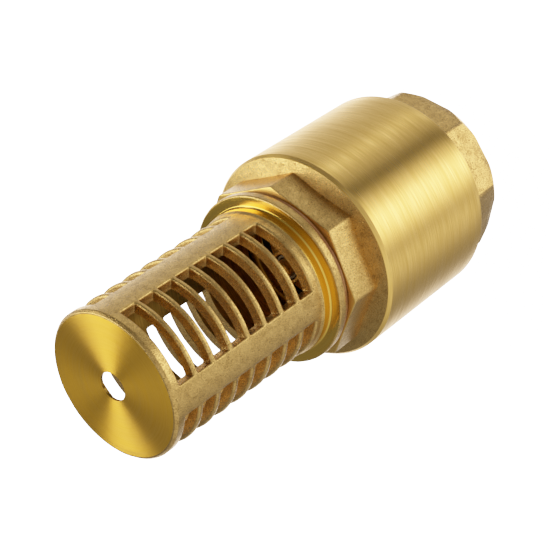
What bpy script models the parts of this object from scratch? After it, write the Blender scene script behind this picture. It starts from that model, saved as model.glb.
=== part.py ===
"""Brass foot valve: a spring-loaded check valve with a slotted suction strainer.

The valve stands on its outlet face. +Z runs along its axis, from the outlet to the strainer's closed end,
and the origin is the centre of the outlet face. In use it hangs the other way up, with the strainer below.
Sizes are in millimetres, and MM turns them into metres.
"""

import math

import bmesh
import bpy

MM = 0.001
TAU = 2 * math.pi
GAP = 0.3  # clearance between pieces that touch
OVER = 1.0  # how far a cutter reaches past the face it opens
EDGE = 0.3  # broken outer edges
CHAMFER = 0.8  # lead-in chamfers of bores

# Outside, along the axis
LENGTH = 131.0
OUTLET_TOP = 13.8
BODY_BACK = OUTLET_TOP + GAP
CYLINDER_TOP = 57.2
FLANGE_TOP = 58.2
NUT_TOP = 68.3
STRAINER_FLANGE = (69.9, 72.5)
NECK_TOP = 75.1
RING_TOP = 77.9

# Outside, across the axis
BODY_R = 29.9
FLANGE_FACE_R = 29.15
FLANGE_ROOT_R = 24.0
NUT_FLATS = 48.4
OUTLET_FLATS = 49.6
OUTLET_FACE_R = 25.2
OUTLET_CROWN_SLOPE = math.radians(60)
STRAINER_FLANGE_R = 24.5
NECK_R = 21.2
RING_R = 20.9
RING_EDGE = 0.9
SIDES = 8
NUT_TURN = math.radians(3)
OUTLET_TURN = math.radians(12.5)

# Strainer
BASKET_BORE_R = 17.6
END_WALL = 2.6
HOLE_WALL = 0.7  # the end wall thins to this at the hole
BORE_CORNER = 1.2
END_HOLE_R = 3.95
END_FACE_R = 19.5
WINDOWS = 4
WINDOW_ARC = math.radians(66)
FIRST_WINDOW = math.radians(-82)
SLOTS = 8
SLOT_PITCH = 6.42
SLOT_WIDTH = 4.8
SLOT_DRAFT = 0.3
SLOT_STEPS = 3
TAIL_R = 20.2
TAIL_END = 59.6

# Pipe thread of the outlet and bores of the body
THREAD_R = 20.5
THREAD_MINOR_R = 19.5
THREAD_MAJOR_R = 20.95
THREAD_PITCH = 2.309
THREAD_DEPTH = 15.0
THREAD_TURNS = 6
SHOULDER = 58.4
SEAT_BORE_R = 16.0
SEAT_NOSE_R = 17.4
SEAT_Z = 53.0
CHAMBER_TOP = 54.6
CHAMBER_R = 25.8
CHAMBER_BOTTOM = 33.0
CHAMBER_CORNER = 3.0
JOINT_R = 22.7
JOINT_TOP = 30.0
O_RING_Z = 15.15
O_RING_R = 23.3
O_RING_SECTION_R = 0.95
O_RING_GROOVE = 1.3  # half the width of the groove round the O-ring
OUTLET_BORE_R = 17.0

# Guides and stem
STEM_R = 2.5
STEM_BOTTOM = 17.5
STEM_TOP = 67.0
STEM_DOME = 1.6
COLLAR_R = 4.4
COLLAR = (54.9, 56.2)
BUSH_IN_R = 2.8
BUSH_OUT_R = 3.5
HUB_BORE_R = BUSH_OUT_R + GAP
INLET_HUB = (57.5, 64.6)
INLET_HUB_R = 5.0
OUTLET_HUB = (19.0, 27.5)
OUTLET_HUB_R = 5.4
ARMS = 4
ARM_WIDTH = 3.0
INLET_ARM_TURN = math.radians(12)
OUTLET_ARM_TURN = math.radians(35)

# Poppet
PLATE = (53.0, 54.6)
PLATE_R = 14.6
SEAL = (50.6, SEAT_Z - GAP)
SEAL_R = 18.4
DISC = (47.3, SEAL[0] - GAP)
DISC_R = 19.2
NUT_FLATS_M5 = 8.0
LOCK_WASHER = (46.2, 47.0)
STEM_NUT = (42.0, 45.9)

# Spring
SPRING_WIRE_R = 0.6
SPRING_R = 7.6
SPRING_TURNS = 7
SPRING_STEPS = 12  # points along one turn
SPRING_WASHER = (26.3, 27.1)

SMOOTH_ANGLE = math.radians(32)

BRASS_CAST = ("cast brass", (0.62, 0.47, 0.24, 1), 0.45, 1.0)
BRASS_TURNED = ("turned brass", (0.72, 0.55, 0.26, 1), 0.25, 1.0)
RUBBER = ("nitrile rubber", (0.02, 0.02, 0.022, 1), 0.7, 0.0)
FIBRE = ("vulcanised fibre", (0.45, 0.16, 0.05, 1), 0.6, 0.0)
PLASTIC = ("acetal", (0.85, 0.85, 0.82, 1), 0.45, 0.0)
STEEL = ("stainless steel", (0.6, 0.6, 0.6, 1), 0.3, 1.0)


def clear_scene():
    for obj in list(bpy.data.objects):
        bpy.data.objects.remove(obj, do_unlink=True)


def material(node, finish):
    """The node's own Principled material: label, colour, roughness and metallic."""
    label, colour, roughness, metallic = finish
    made = bpy.data.materials.new(f"{node} {label}")
    made.use_nodes = True
    shader = made.node_tree.nodes["Principled BSDF"]
    shader.inputs["Base Color"].default_value = colour
    shader.inputs["Roughness"].default_value = roughness
    shader.inputs["Metallic"].default_value = metallic
    made.diffuse_color = colour
    return made


def link(name, mesh):
    obj = bpy.data.objects.new(name, mesh)
    bpy.context.scene.collection.objects.link(obj)
    return obj


def dress(obj, finish):
    obj.data.materials.append(material(obj.name, finish))
    obj.data.shade_smooth()
    obj.data.set_sharp_from_angle(angle=SMOOTH_ANGLE)
    return obj


def mesh_of(name, bm):
    bmesh.ops.recalc_face_normals(bm, faces=bm.faces)
    mesh = bpy.data.meshes.new(name)
    bm.to_mesh(mesh)
    bm.free()
    return mesh


def arc(centre, radius, start_deg, end_deg, steps=4):
    """Points of a round stretch of a profile, as (radius, height)."""
    points = []
    for i in range(steps + 1):
        angle = math.radians(start_deg + (end_deg - start_deg) * i / steps)
        points.append((centre[0] + radius * math.cos(angle), centre[1] + radius * math.sin(angle)))
    return points


def turned(name, profile, segments=64, turn=0.0):
    """A closed (radius, height) outline spun once round the axis."""
    bm = bmesh.new()
    rings = []
    for r, z in profile:
        if r < 1e-9:
            rings.append([bm.verts.new((0, 0, z * MM))])
            continue
        ring = []
        for k in range(segments):
            a = turn + TAU * k / segments
            ring.append(bm.verts.new((r * MM * math.cos(a), r * MM * math.sin(a), z * MM)))
        rings.append(ring)
    for i, ring in enumerate(rings):
        after = rings[(i + 1) % len(rings)]
        if len(ring) == len(after) == 1:
            continue
        for k in range(segments):
            corners = [ring[k % len(ring)], ring[(k + 1) % len(ring)]]
            corners += [after[(k + 1) % len(after)], after[k % len(after)]]
            unique = list(dict.fromkeys(corners))
            bm.faces.new(unique)
    return link(name, mesh_of(name, bm))


def prism(name, flats, low, high, sides, turn=0.0):
    """A regular prism, measured across its flats; turn is the angle of one corner."""
    corner_r = flats / 2 / math.cos(math.pi / sides)
    bm = bmesh.new()
    bmesh.ops.create_circle(bm, cap_ends=True, segments=sides, radius=corner_r * MM)
    for vert in bm.verts:
        a = math.atan2(vert.co.y, vert.co.x) + turn
        vert.co = (corner_r * MM * math.cos(a), corner_r * MM * math.sin(a), low * MM)
    grown = bmesh.ops.extrude_face_region(bm, geom=bm.faces[:])
    top = [item for item in grown["geom"] if isinstance(item, bmesh.types.BMVert)]
    bmesh.ops.translate(bm, verts=top, vec=(0, 0, (high - low) * MM))
    return link(name, mesh_of(name, bm))


def radial_plate(bm, outline, width, angle):
    """Adds a plate that stands along the axis: a (radius, height) outline, width thick, at an angle."""
    direction = (math.cos(angle), math.sin(angle))
    across = (-direction[1], direction[0])
    sides = []
    for shift in (-width / 2, width / 2):
        ring = []
        for r, z in outline:
            x = (r * direction[0] + shift * across[0]) * MM
            y = (r * direction[1] + shift * across[1]) * MM
            ring.append(bm.verts.new((x, y, z * MM)))
        sides.append(ring)
        bm.faces.new(ring)
    count = len(outline)
    for i in range(count):
        bm.faces.new((sides[0][i], sides[0][(i + 1) % count], sides[1][(i + 1) % count], sides[1][i]))


def spider_arms(name, outline, turn):
    bm = bmesh.new()
    for k in range(ARMS):
        radial_plate(bm, outline, ARM_WIDTH, turn + TAU * k / ARMS)
    return link(name, mesh_of(name, bm))


def boolean(obj, other, operation):
    """Cuts obj with a helper or joins the helper to it; the helper stays out of the render."""
    modifier = obj.modifiers.new(f"{operation.lower()} {other.name}", "BOOLEAN")
    modifier.operation = operation
    modifier.solver = "EXACT"
    modifier.object = other
    other.hide_render = True
    other.display_type = "WIRE"


def slot_cutter():
    """All the strainer's slots: a curved block for each, through the wall and a little wider outside."""
    bm = bmesh.new()
    half = SLOT_WIDTH / 2
    inner = BASKET_BORE_R - 1.5
    outer = RING_R + 2.0
    section = [(inner, -half), (outer, -half - SLOT_DRAFT), (outer, half + SLOT_DRAFT), (inner, half)]
    first = RING_TOP + half
    for window in range(WINDOWS):
        middle = FIRST_WINDOW + TAU * window / WINDOWS
        for slot in range(SLOTS):
            height = first + slot * SLOT_PITCH
            rings = []
            for k in range(SLOT_STEPS + 1):
                a = middle + WINDOW_ARC * (k / SLOT_STEPS - 0.5)
                ring = []
                for r, z in section:
                    ring.append(bm.verts.new((r * MM * math.cos(a), r * MM * math.sin(a), (height + z) * MM)))
                rings.append(ring)
            bm.faces.new(rings[0])
            bm.faces.new(rings[-1])
            for first_ring, next_ring in zip(rings, rings[1:]):
                for i in range(len(section)):
                    j = (i + 1) % len(section)
                    bm.faces.new((first_ring[i], first_ring[j], next_ring[j], next_ring[i]))
    return link("slot_cutter", mesh_of("slot_cutter", bm))


def strainer():
    low, high = STRAINER_FLANGE
    inner_top = LENGTH - END_WALL
    profile = [(END_HOLE_R, LENGTH), (END_FACE_R, LENGTH)]
    profile += arc((END_FACE_R, LENGTH - RING_EDGE), RING_EDGE, 90, 0, 3)[1:]
    profile += [(RING_R - 0.35, RING_TOP - 1.0), (RING_R, NECK_TOP + RING_EDGE), (RING_R, NECK_TOP + 0.3)]
    profile += [(NECK_R, NECK_TOP), (NECK_R, high + 0.4), (NECK_R + 0.4, high)]
    profile += [(STRAINER_FLANGE_R - 0.35, high), (STRAINER_FLANGE_R, high - 0.6)]
    profile += [(STRAINER_FLANGE_R, low + 0.7), (STRAINER_FLANGE_R - 0.5, low)]
    profile += [(TAIL_R - 0.7, low), (TAIL_R - 0.7, low - 1.2), (TAIL_R, low - 1.6)]
    profile += [(TAIL_R, TAIL_END + 0.7), (TAIL_R - 0.7, TAIL_END), (BASKET_BORE_R, TAIL_END)]
    profile += arc((BASKET_BORE_R - BORE_CORNER, inner_top - BORE_CORNER), BORE_CORNER, 0, 90, 3)
    profile += [(END_HOLE_R, LENGTH - HOLE_WALL)]
    obj = turned("strainer", profile, 48, math.radians(2.5))
    boolean(obj, slot_cutter(), "DIFFERENCE")
    return dress(obj, BRASS_CAST)


def body():
    low, high = INLET_HUB
    outside = [(THREAD_MINOR_R, BODY_BACK), (BODY_R - EDGE, BODY_BACK), (BODY_R, BODY_BACK + EDGE)]
    outside += [(BODY_R, CYLINDER_TOP), (FLANGE_FACE_R, FLANGE_TOP), (FLANGE_ROOT_R, FLANGE_TOP + OVER)]
    outside += [(THREAD_MINOR_R, FLANGE_TOP + OVER)]
    obj = turned("body", outside, 64)
    boolean(obj, prism("wrench_section", NUT_FLATS, FLANGE_TOP - 3, NUT_TOP, SIDES, NUT_TURN), "UNION")

    groove_r = O_RING_R + O_RING_GROOVE
    mouth = [(0, NUT_TOP + OVER), (THREAD_R + CHAMFER, NUT_TOP + OVER), (THREAD_R + CHAMFER, NUT_TOP)]
    mouth += [(THREAD_R, NUT_TOP - CHAMFER), (THREAD_R, SHOULDER), (SEAT_BORE_R + CHAMFER, SHOULDER)]
    mouth += [(SEAT_BORE_R, SHOULDER - CHAMFER), (SEAT_BORE_R, SEAT_Z), (SEAT_NOSE_R, SEAT_Z)]
    mouth += [(SEAT_NOSE_R + CHAMFER, CHAMBER_TOP)]
    mouth += arc((CHAMBER_R - CHAMBER_CORNER, CHAMBER_TOP - CHAMBER_CORNER), CHAMBER_CORNER, 90, 0)
    mouth += [(CHAMBER_R, CHAMBER_BOTTOM), (JOINT_R, CHAMBER_BOTTOM - 2.5)]
    mouth += [(JOINT_R, O_RING_Z + 1.5), (groove_r, O_RING_Z + O_RING_GROOVE)]
    mouth += [(groove_r, BODY_BACK - OVER), (0, BODY_BACK - OVER)]
    boolean(obj, turned("body_bore", mouth, 48), "DIFFERENCE")

    hub = [(HUB_BORE_R, high), (INLET_HUB_R - 1.0, high)]
    hub += arc((INLET_HUB_R - 1.0, high - 1.0), 1.0, 90, 0, 3)[1:]
    hub += [(INLET_HUB_R, low), (HUB_BORE_R, low)]
    hub_solid = turned("inlet_hub", hub, 32)
    arm = [(HUB_BORE_R + 0.6, low + 0.4), (SEAT_BORE_R - 0.8, 55.4), (SEAT_BORE_R + 1.6, SEAT_Z + 1.4)]
    arm += [(SEAT_BORE_R + 1.6, SHOULDER - 0.6), (SEAT_BORE_R - 1.2, SHOULDER - 0.1)]
    arm += [(INLET_HUB_R + 1.0, high - 2.0), (HUB_BORE_R + 0.6, high - 1.4)]
    boolean(obj, spider_arms("inlet_arms", arm, INLET_ARM_TURN), "UNION")
    boolean(obj, hub_solid, "UNION")
    return dress(obj, BRASS_TURNED)


def thread_rings(count):
    """Outline of the outlet's thread as ridges and grooves, from the mouth inwards."""
    points = []
    for k in range(count):
        groove = 1.6 + k * THREAD_PITCH
        points += [(THREAD_MAJOR_R, groove), (THREAD_MINOR_R, groove + THREAD_PITCH / 2)]
    return points


def outlet_end():
    low, high = OUTLET_HUB
    obj = prism("outlet_end", OUTLET_FLATS, 0, OUTLET_TOP, SIDES, OUTLET_TURN)
    slope_run = 3.0
    corner_r = OUTLET_FACE_R + slope_run
    slope_top = slope_run * math.tan(OUTLET_CROWN_SLOPE)
    crown = [(0, 0), (OUTLET_FACE_R, 0), (corner_r, slope_top), (corner_r, 20), (0, 20)]
    boolean(obj, turned("outlet_crown", crown, 64), "INTERSECT")
    nose_r = JOINT_R - GAP
    groove_r = O_RING_R - O_RING_GROOVE
    nose = [(OUTLET_BORE_R - OVER, OUTLET_TOP - OVER), (groove_r, OUTLET_TOP - OVER)]
    nose += [(groove_r, O_RING_Z + 1.6), (nose_r, O_RING_Z + 2.0)]
    nose += [(nose_r, JOINT_TOP - CHAMFER), (nose_r - CHAMFER, JOINT_TOP), (OUTLET_BORE_R - OVER, JOINT_TOP)]
    boolean(obj, turned("outlet_nose", nose, 48), "UNION")

    mouth_r = THREAD_MAJOR_R + 0.9
    thread_end = THREAD_DEPTH + 0.9
    flare = 1.2
    bore = [(0, -OVER), (mouth_r, -OVER), (mouth_r, 0), (THREAD_MAJOR_R, 0.9)]
    bore += thread_rings(THREAD_TURNS)
    bore += [(THREAD_R, thread_end), (OUTLET_BORE_R + CHAMFER, thread_end)]
    bore += [(OUTLET_BORE_R, thread_end + CHAMFER), (OUTLET_BORE_R, JOINT_TOP - flare)]
    bore += [(OUTLET_BORE_R + flare, JOINT_TOP), (OUTLET_BORE_R + flare, JOINT_TOP + OVER)]
    bore += [(0, JOINT_TOP + OVER)]
    boolean(obj, turned("outlet_bore", bore, 48), "DIFFERENCE")

    hub = [(HUB_BORE_R, high), (OUTLET_HUB_R - 0.5, high), (OUTLET_HUB_R, high - 0.5)]
    hub += [(OUTLET_HUB_R, low + 1.0), (OUTLET_HUB_R - 1.0, low), (HUB_BORE_R, low)]
    arm = [(HUB_BORE_R + 0.6, low + 1.4), (OUTLET_BORE_R + 1.0, low + 2.6)]
    arm += [(OUTLET_BORE_R + 1.0, SPRING_WASHER[0] - GAP), (HUB_BORE_R + 0.6, SPRING_WASHER[0] - GAP)]
    boolean(obj, spider_arms("outlet_arms", arm, OUTLET_ARM_TURN), "UNION")
    boolean(obj, turned("outlet_hub", hub, 32), "UNION")
    return dress(obj, BRASS_CAST)


def ring(name, inner, outer, low, high, finish, edge=0.2, segments=40):
    """A flat ring with broken edges."""
    profile = [(inner, low), (outer - edge, low), (outer, low + edge), (outer, high - edge)]
    profile += [(outer - edge, high), (inner, high)]
    return dress(turned(name, profile, segments), finish)


def round_ring(name, radius, height, section_r, finish):
    """A ring of round section."""
    profile = arc((radius, height), section_r, 0, 360, 6)[:-1]
    return dress(turned(name, profile, 40), finish)


def stem():
    low, high = COLLAR
    profile = [(0, STEM_BOTTOM), (STEM_R - 0.4, STEM_BOTTOM), (STEM_R, STEM_BOTTOM + 0.4)]
    profile += [(STEM_R, low), (COLLAR_R, low), (COLLAR_R, high - EDGE), (COLLAR_R - EDGE, high)]
    profile += [(STEM_R, high), (STEM_R, STEM_TOP - STEM_DOME)]
    for a in (0.45, 0.9, 1.25):
        profile.append((STEM_R * math.cos(a), STEM_TOP - STEM_DOME + STEM_DOME * math.sin(a)))
    profile += [(0, STEM_TOP)]
    return dress(turned("stem", profile, 24), BRASS_TURNED)


def retainer_plate():
    low, high = PLATE
    profile = [(STEM_R + GAP, low), (PLATE_R, low), (PLATE_R, low + 0.6), (PLATE_R - 1.4, high)]
    profile += [(STEM_R + GAP, high)]
    return dress(turned("retainer_plate", profile, 40), BRASS_TURNED)


def poppet_disc():
    low, high = DISC
    lip = SEAL_R + GAP
    profile = [(STEM_R + GAP, low), (SPRING_R + 2.2, low), (DISC_R - 0.6, high - 1.2), (DISC_R, high - 0.6)]
    profile += [(DISC_R, high + 1.2), (lip, high + 1.2), (lip, high), (STEM_R + GAP, high)]
    return dress(turned("poppet_disc", profile, 40), BRASS_TURNED)


def stem_nut():
    low, high = STEM_NUT
    obj = prism("stem_nut", NUT_FLATS_M5, low, high, 6)
    corner = NUT_FLATS_M5 / 2 / math.cos(math.pi / 6)
    face_r = corner - 0.7
    clear_r = corner + EDGE
    crown = [(0, low), (face_r, low), (clear_r, low + 0.6), (clear_r, high - 0.6), (face_r, high), (0, high)]
    boolean(obj, turned("nut_crown", crown, 24), "INTERSECT")
    hole = [(0, low - OVER), (STEM_R + GAP, low - OVER), (STEM_R + GAP, high + OVER), (0, high + OVER)]
    boolean(obj, turned("nut_hole", hole, 24), "DIFFERENCE")
    return dress(obj, BRASS_TURNED)


def spring():
    """A compression spring whose end turns lie close together."""
    low = SPRING_WASHER[1] + GAP + SPRING_WIRE_R
    high = DISC[0] - GAP - SPRING_WIRE_R
    closed = 2.6 * SPRING_WIRE_R
    count = SPRING_TURNS * SPRING_STEPS
    middle = (high - low - 2 * closed) / (SPRING_TURNS - 2)
    points = []
    for i in range(count + 1):
        turns = i / SPRING_STEPS
        height = low + closed * min(turns, 1)
        height += middle * min(max(turns - 1, 0), SPRING_TURNS - 2)
        height += closed * max(turns - (SPRING_TURNS - 1), 0)
        a = TAU * turns
        points.append((SPRING_R * MM * math.cos(a), SPRING_R * MM * math.sin(a), height * MM))
    curve = bpy.data.curves.new("spring", "CURVE")
    curve.dimensions = "3D"
    curve.bevel_depth = SPRING_WIRE_R * MM
    curve.bevel_resolution = 1
    curve.use_fill_caps = True
    spline = curve.splines.new("POLY")
    spline.points.add(len(points) - 1)
    for point, place in zip(spline.points, points):
        point.co = (*place, 1)
    obj = bpy.data.objects.new("spring", curve)
    bpy.context.scene.collection.objects.link(obj)
    curve.materials.append(material("spring", STEEL))
    return obj


def poppet_axis(pieces):
    """An empty on the slide's axis, at the seat, that the moving pieces hang on."""
    empty = bpy.data.objects.new("poppet_axis", None)
    bpy.context.scene.collection.objects.link(empty)
    empty.location = (0, 0, SEAT_Z * MM)
    bpy.context.view_layer.update()
    for piece in pieces:
        piece.parent = empty
        piece.matrix_parent_inverse = empty.matrix_world.inverted()


def main():
    clear_scene()
    strainer()
    ring("strainer_gasket", NECK_R, STRAINER_FLANGE_R - 0.6, NUT_TOP + GAP, STRAINER_FLANGE[0] - GAP, FIBRE)
    body()
    outlet_end()
    round_ring("body_o_ring", O_RING_R, O_RING_Z, O_RING_SECTION_R, RUBBER)
    ring("inlet_bush", BUSH_IN_R, BUSH_OUT_R, INLET_HUB[0] + 0.4, INLET_HUB[1] - 0.5, PLASTIC, 0.15, 20)
    ring("outlet_bush", BUSH_IN_R, BUSH_OUT_R, OUTLET_HUB[0] + 0.4, OUTLET_HUB[1] - 0.4, PLASTIC, 0.15, 20)
    ring("spring_washer", OUTLET_HUB_R + 0.5, SPRING_R + 2.0, *SPRING_WASHER, STEEL)
    spring()
    moving = [stem(), retainer_plate(), poppet_disc(), stem_nut()]
    moving.append(ring("seat_seal", COLLAR_R, SEAL_R, *SEAL, RUBBER, 0.3))
    moving.append(ring("lock_washer", STEM_R + GAP, NUT_FLATS_M5 / 2 + 0.8, *LOCK_WASHER, STEEL, 0.1, 20))
    poppet_axis(moving)


if __name__ == "__main__":
    main()
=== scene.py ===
"""Brass foot valve: the finished meshes, metals, floor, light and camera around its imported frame.

The valve stands on its outlet face with its axis along Z. A slotted, cast strainer screws into the turned
valve body, whose back holds the octagonal outlet end. Inside, a spring presses the poppet onto its seat.
Sizes are in millimetres unless a name says otherwise, and MM turns them into metres.
"""

import logging
import math
from collections.abc import Callable, Iterable, Sequence
from dataclasses import dataclass, field
from enum import Enum

import bmesh
import bpy
from mathutils import Matrix, Vector, noise


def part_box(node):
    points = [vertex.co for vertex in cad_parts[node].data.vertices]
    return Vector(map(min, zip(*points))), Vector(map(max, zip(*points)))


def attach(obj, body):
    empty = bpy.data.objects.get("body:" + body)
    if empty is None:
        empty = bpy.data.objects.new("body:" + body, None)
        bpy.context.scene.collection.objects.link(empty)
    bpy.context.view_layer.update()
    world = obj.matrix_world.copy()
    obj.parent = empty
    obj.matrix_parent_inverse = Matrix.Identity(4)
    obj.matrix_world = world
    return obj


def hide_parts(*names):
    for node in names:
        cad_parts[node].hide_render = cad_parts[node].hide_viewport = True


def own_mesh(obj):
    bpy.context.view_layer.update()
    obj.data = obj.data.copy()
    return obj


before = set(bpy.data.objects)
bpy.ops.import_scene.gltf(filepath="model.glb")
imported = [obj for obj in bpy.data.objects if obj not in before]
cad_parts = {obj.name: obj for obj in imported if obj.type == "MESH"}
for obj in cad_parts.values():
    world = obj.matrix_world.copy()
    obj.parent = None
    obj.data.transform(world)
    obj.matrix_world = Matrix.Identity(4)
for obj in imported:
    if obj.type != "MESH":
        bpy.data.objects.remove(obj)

MM = 0.001
TAU = 2 * math.pi
LOG = logging.getLogger("foot_valve")

# Nearer to the axis than this, a point of an outline is a tip and isn't spun.
TIP = 1e-6
# A rounding takes at most this share of the shorter side beside it.
MOST_OF_SIDE = 0.49
# How far a cutter runs past the metal that it cuts.
OVER = 1.0
# Slack when a face is told by its place.
NEAR = 0.01
# Roundings of edges: none, hardly broken, broken, and softened.
SHARP, FINE_EDGE, EDGE, SOFT_EDGE = 0.0, 0.1, 0.2, 0.3

Point = tuple[float, float]
Corner = tuple[float, float, float]
Colour = tuple[float, float, float]
Test = Callable[[Vector, Vector], bool]


class Body(Enum):
    """The two bodies that pieces ride on."""

    VALVE = "valve"
    POPPET = "poppet"


class Slot(Enum):
    """The record's material slots."""

    CAST = "cast_brass"
    TURNED = "turned_brass"
    RUBBER = "rubber"
    FIBRE = "fibre"
    PLASTIC = "plastic"
    STEEL = "steel"


# ---------------------------------------------------------------- mesh tools


@dataclass(frozen=True)
class Extent:
    """Where a frame node starts and ends along the axis, and how far it reaches from it."""

    low: float
    high: float
    radius: float

    @classmethod
    def of(cls, node: str) -> "Extent":
        """Measures a node of the frame.

        Args:
            node: Name of the frame node.

        Returns:
            Its extent in millimetres.
        """
        low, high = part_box(node)
        return cls(low[2] / MM, high[2] / MM, max(high[0], high[1], -low[0], -low[1]) / MM)


def arc(centre: Point, radius: float, start: float, end: float, steps: int = 6) -> list[Point]:
    """Makes the points of a round stretch of an outline.

    Args:
        centre: Centre as (radius, height).
        radius: Radius of the arc.
        start: First angle in degrees.
        end: Last angle in degrees.
        steps: Number of chords.

    Returns:
        The points from start to end.
    """
    turns = [math.radians(start + (end - start) * i / steps) for i in range(steps + 1)]
    return [(centre[0] + radius * math.cos(a), centre[1] + radius * math.sin(a)) for a in turns]


def rounded(corners: Sequence[Corner], steps: int = 4) -> list[Point]:
    """Rounds the corners of a closed outline.

    Args:
        corners: Each corner as (radius, height, rounding), where a rounding of 0 keeps it sharp.
        steps: Number of chords in each rounding.

    Returns:
        The outline's points.
    """
    points: list[Point] = []
    count = len(corners)
    for i, (x, y, rounding) in enumerate(corners):
        here = Vector((x, y))
        if rounding <= 0:
            points.append((x, y))
            continue
        before = Vector(corners[i - 1][:2]) - here
        after = Vector(corners[(i + 1) % count][:2]) - here
        opening = before.angle(after)
        longest = MOST_OF_SIDE * min(before.length, after.length)
        reach = min(rounding / math.tan(opening / 2), longest)
        radius = reach * math.tan(opening / 2)
        inward = (before.normalized() + after.normalized()).normalized()
        centre = here + inward * radius / math.sin(opening / 2)
        start = here + before.normalized() * reach - centre
        end = here + after.normalized() * reach - centre
        sweep = math.pi - opening
        for k in range(steps + 1):
            share = k / steps
            place = start * math.sin((1 - share) * sweep) + end * math.sin(share * sweep)
            place = centre + place / math.sin(sweep)
            points.append((place.x, place.y))
    return points


def split_long(points: Sequence[Point], longest: float) -> list[Point]:
    """Adds points along a closed outline's long straight stretches.

    Args:
        points: The outline.
        longest: Longest stretch that stays whole.

    Returns:
        The outline with no stretch longer than that.
    """
    made: list[Point] = []
    for i, (x, y) in enumerate(points):
        u, v = points[(i + 1) % len(points)]
        parts = max(1, math.ceil(math.hypot(u - x, v - y) / longest))
        made += [(x + (u - x) * k / parts, y + (v - y) * k / parts) for k in range(parts)]
    return made


def on_axis(radius: float, angle: float, height: float) -> Vector:
    """Turns millimetres round the axis into a place in metres."""
    return Vector((radius * math.cos(angle), radius * math.sin(angle), height)) * MM


def link(name: str, bm: bmesh.types.BMesh) -> bpy.types.Object:
    """Closes a mesh and puts it in the scene.

    Args:
        name: Name of the new object.
        bm: The mesh being built, which is freed.

    Returns:
        The object.
    """
    bmesh.ops.recalc_face_normals(bm, faces=bm.faces)
    mesh = bpy.data.meshes.new(name)
    bm.to_mesh(mesh)
    bm.free()
    obj = bpy.data.objects.new(name, mesh)
    bpy.context.scene.collection.objects.link(obj)
    return obj


def skin(bm: bmesh.types.BMesh, loops: Sequence[Sequence[bmesh.types.BMVert]], ring: bool,
         caps: bool) -> None:
    """Joins closed loops of equal length with faces.

    Args:
        bm: The mesh that holds the loops.
        loops: The loops in order; a loop of one vertex is a tip.
        ring: Whether the last loop joins the first.
        caps: Whether the first and last loops are filled.
    """
    stretches = len(loops) if ring else len(loops) - 1
    for i in range(stretches):
        here, there = loops[i], loops[(i + 1) % len(loops)]
        count = max(len(here), len(there))
        if count == 1:
            continue
        for k in range(count):
            corners = [here[k % len(here)], here[(k + 1) % len(here)]]
            corners += [there[(k + 1) % len(there)], there[k % len(there)]]
            bm.faces.new(list(dict.fromkeys(corners)))
    if caps:
        bm.faces.new(loops[0])
        bm.faces.new(loops[-1])


def turned(name: str, outline: Sequence[Point], segments: int = 160, turn: float = 0.0) -> bpy.types.Object:
    """Spins a closed outline round the axis, as a lathe does.

    Args:
        name: Name of the new object.
        outline: Points as (radius, height).
        segments: Number of steps in the whole turn.
        turn: Angle of the first step.

    Returns:
        The object.
    """
    bm = bmesh.new()
    loops = []
    for radius, height in outline:
        steps = 1 if radius < TIP else segments
        loops.append([bm.verts.new(on_axis(radius, turn + TAU * k / segments, height)) for k in range(steps)])
    skin(bm, loops, ring=True, caps=False)
    return link(name, bm)


def prism(name: str, flats: float, low: float, high: float, sides: int, turn: float,
          corner: float, edge: float) -> bpy.types.Object:
    """Makes a regular prism with softened corners and edges.

    Args:
        name: Name of the new object.
        flats: Size across the flats.
        low: Height of the bottom.
        high: Height of the top.
        sides: Number of flats.
        turn: Angle of one corner.
        corner: Width of the rounding on the upright corners.
        edge: Width of the rounding on the top and bottom edges.

    Returns:
        The object.
    """
    reach = flats / 2 / math.cos(math.pi / sides)
    bm = bmesh.new()
    loops = []
    for height in (low, high):
        loops.append([bm.verts.new(on_axis(reach, turn + TAU * k / sides, height)) for k in range(sides)])
    skin(bm, loops, ring=False, caps=True)
    upright = [e for e in bm.edges if abs(e.verts[0].co.z - e.verts[1].co.z) > MM]
    bmesh.ops.bevel(bm, geom=upright, offset=corner * MM, segments=4, profile=0.5, affect="EDGES")
    flat = [e for e in bm.edges if len({round(f.normal.z) for f in e.link_faces}) > 1]
    if edge > 0:
        bmesh.ops.bevel(bm, geom=flat, offset=edge * MM, segments=3, profile=0.5, affect="EDGES")
    return link(name, bm)


def combine(obj: bpy.types.Object, tool: bpy.types.Object, operation: str) -> bpy.types.Object:
    """Cuts or joins two solids and keeps only the result.

    Args:
        obj: The solid that is kept.
        tool: The solid that is used up.
        operation: DIFFERENCE, UNION or INTERSECT.

    Returns:
        The first object with its new mesh.
    """
    modifier = obj.modifiers.new(operation.lower(), "BOOLEAN")
    modifier.operation = operation
    modifier.solver = "EXACT"
    modifier.object = tool
    graph = bpy.context.evaluated_depsgraph_get()
    made = bpy.data.meshes.new_from_object(obj.evaluated_get(graph))
    obj.modifiers.clear()
    obj.data = made
    bpy.data.objects.remove(tool, do_unlink=True)
    return obj


def arms(name: str, outline: Sequence[Point], width: float, count: int, turn: float) -> bpy.types.Object:
    """Makes the flat arms of a spider, each standing along the axis.

    Args:
        name: Name of the new object.
        outline: Side view of one arm as (radius, height).
        width: Thickness of an arm.
        count: Number of arms.
        turn: Angle of the first arm.

    Returns:
        One object with all the arms.
    """
    bm = bmesh.new()
    middle = sum(height for _, height in outline) / len(outline)
    side, flat = 0.5, 0.32
    sections = ((-side, SOFT_EDGE), (-flat, 0.0), (flat, 0.0), (side, SOFT_EDGE))
    for k in range(count):
        turning = Matrix.Rotation(turn + TAU * k / count, 4, "Z")
        loops = []
        for share, inset in sections:
            loops.append([])
            for radius, height in outline:
                drawn = height - math.copysign(inset, height - middle)
                place = Vector((radius, share * width, drawn)) * MM
                loops[-1].append(bm.verts.new(turning @ place))
        skin(bm, loops, ring=False, caps=True)
    return link(name, bm)


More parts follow.
